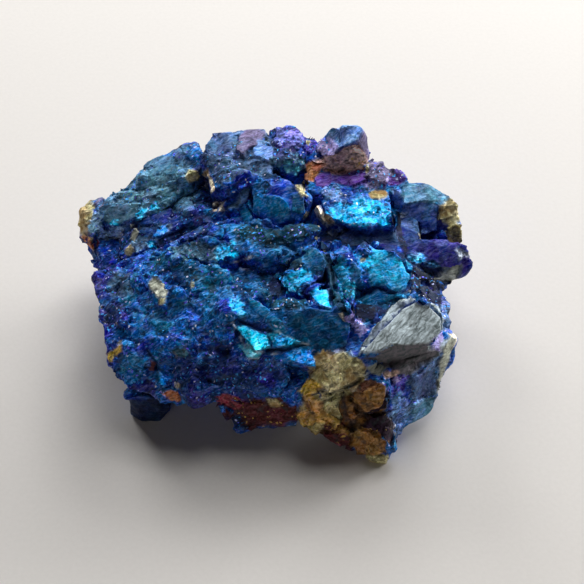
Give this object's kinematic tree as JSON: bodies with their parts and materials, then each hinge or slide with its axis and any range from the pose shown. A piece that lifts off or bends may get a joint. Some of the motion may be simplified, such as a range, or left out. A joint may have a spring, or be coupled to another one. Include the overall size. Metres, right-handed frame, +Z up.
{
  "type": "chalcopyrite specimen",
  "caption": "Hand specimen of iridescent chalcopyrite: one rough, blocky fragment with cleaved faces, ledges and gullies, resting on three feet.",
  "frame": {"origin": "under the middle of the specimen's bounds, in the plane that its three feet rest on", "axes": "+X along the specimen's length, -Y towards its broken front with the brassy corner, +Z up as it rests"},
  "size_m": [0.047, 0.0386, 0.022],
  "materials": {
    "iridescent_ore": "rough, with a metallic blue, violet and brassy tarnish"
  },
  "bodies": {
    "root": {"chalcopyrite_specimen": "iridescent_ore"}
  },
  "joints": []
}
